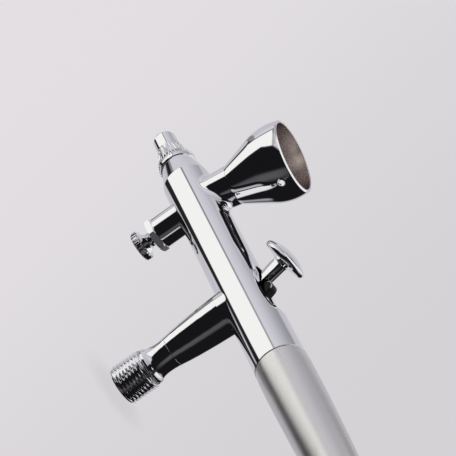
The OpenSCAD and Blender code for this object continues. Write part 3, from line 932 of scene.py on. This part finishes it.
def make_springs():
    x_axis, z_axis, y_axis = Vector((1, 0, 0)), Vector((0, 0, 1)), Vector((0, 1, 0))
    front, rear = low("needle_spring", "x"), high("needle_spring", "x")
    length, mean_r, wire_r, turns = rear - front, 2.3, 0.32, 12.5
    mesh = coil_mesh("needle_spring", Vector((front, 0, AXIS_Z)), x_axis, y_axis,
                     length, mean_r, wire_r, turns)
    obj = piece("coiled_needle_spring", mesh, "gun", "spring_steel", "needle_spring")
    (length - travel("needle_slide")) / length
    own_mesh(obj)

    bottom, top = low("valve_spring", "z"), high("valve_spring", "z")
    length, mean_r, wire_r, turns = top - bottom, 1.35, 0.28, 6.5
    mesh = coil_mesh("valve_spring", Vector((0, 0, bottom)), z_axis, x_axis,
                     length, mean_r, wire_r, turns)
    obj = piece("coiled_valve_spring", mesh, "gun", "spring_steel", "valve_spring")
    (length - travel("trigger_press")) / length
    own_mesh(obj)


# ---- handle, preset knob and chuck ----

def make_handle():
    front, rear = low("handle", "x"), high("handle", "x")
    r = BARREL_R
    side = smooth_line([(r, front + 0.35), (r + 0.1, front + 4), (r + 0.02, front + 12),
                        (5.75, front + 22), (5.35, front + 32), (4.9, front + 42),
                        (4.45, front + 52), (4.1, front + 60), (3.9, rear - 0.5)], 6)
    # Bores from the rear: counterbore, preset screw, two rooms and the socket for the body
    counter_r, counter_x = 2.5, rear - 6.2
    screw_r, screw_x = 1.56, 78
    rear_room_r, rear_room_x = 3.4, 46
    front_room_r, front_room_x = 4.6, 27.1
    socket_r = 4.9
    profile = ([(socket_r, front), (r - 0.2, front)] + side + [
        (3.4, rear), (counter_r, rear), (counter_r, counter_x), (screw_r, counter_x),
        (screw_r, screw_x), (rear_room_r, screw_x), (rear_room_r, rear_room_x),
        (front_room_r, rear_room_x), (front_room_r, front_room_x), (socket_r, front_room_x)
    ])
    mesh = lathe_mesh("handle", profile, BARREL, 192, 0.2)
    piece("satin_handle", mesh, "gun", "satin_chrome", "handle")


def make_preset_knob():
    front, rear = low("preset_knob", "x"), high("preset_knob", "x")
    knob_front, groove_x, groove_half = rear - 5.6, high("handle", "x") - 2.4, 0.6
    knob_r, screw_r, groove_r, knurl_depth = 3.8, 1.5, 1.1, 0.28

    def shape(radius, height, angle):
        if radius > 3.4:
            full = ramp(knob_front + 0.6, knob_front + 1, height)
            full *= 1 - ramp(rear - 1.6, rear - 1.2, height)
            radius -= knurl_depth * groove(angle, 36, 0.9) * full
        return radius, height

    profile = [
        (0, front), (1.2, front), (screw_r, front + 0.3), (screw_r, groove_x - groove_half),
        (groove_r, groove_x - groove_half), (groove_r, groove_x + groove_half),
        (screw_r, groove_x + groove_half), (screw_r, knob_front), (2.6, knob_front),
        (3.5, knob_front + 0.4), (knob_r, knob_front + 0.8), (knob_r, rear - 1.2),
        (3.3, rear - 0.6), (2, rear - 0.1), (0, rear)
    ]
    mesh = lathe_mesh("preset_knob", profile, BARREL, 288, 0.15, shape, 0.3)
    piece("knurled_preset_knob", mesh, "preset", "chrome", "preset_knob")


def make_chuck_nut():
    front, rear = low("chuck_nut", "x"), high("chuck_nut", "x")
    knurl_end, knurl_depth = front + 5, 0.2
    nut_r, tube_r, needle_r, seat = 2.9, 1.75, 0.6, front + 2

    def shape(radius, height, angle):
        if radius > 2.6 and front + 0.4 < height < knurl_end:
            radius -= knurl_depth * groove(angle, 30, 0.9)
        return radius, height

    profile = [
        (tube_r, front), (2.7, front), (nut_r, front + 0.3), (nut_r, knurl_end),
        (2.2, front + 5.6), (1.6, rear), (needle_r, rear), (needle_r, seat), (tube_r, seat)
    ]
    mesh = lathe_mesh("chuck_nut", profile, BARREL, 240, 0.1, shape, 0.3)
    piece("knurled_chuck_nut", mesh, "needle_train", "chrome", "chuck_nut")


# ---- stage ----

def make_floor():
    """Plain pale floor just below the gun, in metres. It shows the backdrop's tone, with a
    faint shade under the hose inlet, and the chrome doesn't mirror it."""
    mesh = bpy.data.meshes.new("floor")
    level_z = cad_box[0][2] - 0.002
    edge = 1.5
    shade_inner, shade_outer, shade_strength = 0.004, 0.013, 0.1
    mesh.from_pydata([(-edge, -edge, level_z), (edge, -edge, level_z), (edge, edge, level_z),
                      (-edge, edge, level_z)], [], [(0, 1, 2, 3)])
    floor = bpy.data.objects.new("floor", mesh)
    bpy.context.scene.collection.objects.link(floor)
    material = bpy.data.materials.new("floor")
    material.use_nodes = True
    tree = material.node_tree
    tree.nodes.clear()
    through = add_node(tree, "ShaderNodeBsdfTransparent", Color=(1, 1, 1, 1))
    shade = add_node(tree, "ShaderNodeEmission", Color=tone(60))
    here = place(tree)
    away = Num(tree, vector_op(tree, "DOT_PRODUCT", here, here)) ** 0.5
    mixed = tree.nodes.new("ShaderNodeMixShader")
    feed(tree, mixed.inputs[0], away.below(shade_inner, shade_outer) * shade_strength)
    tree.links.new(through.outputs[0], mixed.inputs[1])
    tree.links.new(shade.outputs[0], mixed.inputs[2])
    output = tree.nodes.new("ShaderNodeOutputMaterial")
    tree.links.new(mixed.outputs[0], output.inputs["Surface"])
    mesh.materials.append(material)
    for ray in ("glossy", "diffuse", "transmission", "shadow"):
        setattr(floor, "visible_" + ray, False)


make_camera()
make_world()
make_floor()
finish_cad_nodes()
make_fillets()
make_nozzle_cap()
make_needle_cap()
make_cup()
make_casing()
make_control_bushing()
make_control_knob()
make_trigger()
make_lever()
make_springs()
make_handle()
make_preset_knob()
make_chuck_nut()
bpy.context.scene.view_settings.view_transform = "Standard"
